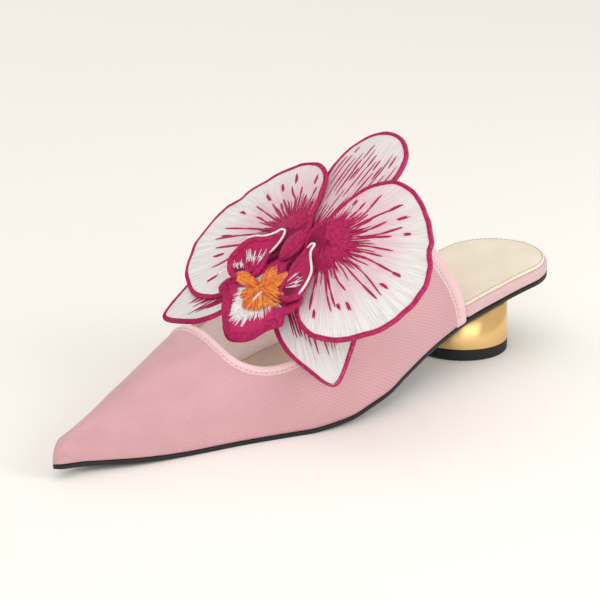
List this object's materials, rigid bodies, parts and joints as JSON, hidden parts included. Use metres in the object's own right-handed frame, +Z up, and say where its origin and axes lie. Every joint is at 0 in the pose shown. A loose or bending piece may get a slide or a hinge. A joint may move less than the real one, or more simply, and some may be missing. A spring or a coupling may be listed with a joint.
{
  "type": "women's mule shoe",
  "caption": "Left backless mule with a pointed toe, low round block heel, open throat and a layered embroidered orchid sewn on the instep band.",
  "frame": {"origin": "centre of the heel tip's floor face", "axes": "+Y from toe to back, +X to the outer side of the foot, +Z up from the floor"},
  "size_m": [0.1268, 0.2659, 0.108],
  "materials": {
    "tip_black": "matt black rubber",
    "gold": "polished gold plating",
    "outsole_black": "black leather sole",
    "board_pink": "smooth pink wrapping",
    "sock_beige": "beige lining leather",
    "mesh_pink": "fine pink mesh over lining",
    "satin_pink": "pink satin tape",
    "petal_white": "white embroidery with magenta stitches and border",
    "lip_magenta": "magenta embroidery"
  },
  "bodies": {
    "root": {"heel_tip": "tip_black", "heel_block": "gold", "outsole": "outsole_black", "insole_board": "board_pink", "insole_sock": "sock_beige", "upper": "mesh_pink", "throat_tape": "satin_pink", "rear_tape": "satin_pink", "sepal_upper": "petal_white", "sepal_outer": "petal_white", "sepal_inner": "petal_white", "petal_outer": "petal_white", "petal_inner": "petal_white", "lip": "lip_magenta", "lip_lobe_outer": "lip_magenta", "lip_lobe_inner": "lip_magenta", "column": "lip_magenta"}
  },
  "joints": []
}
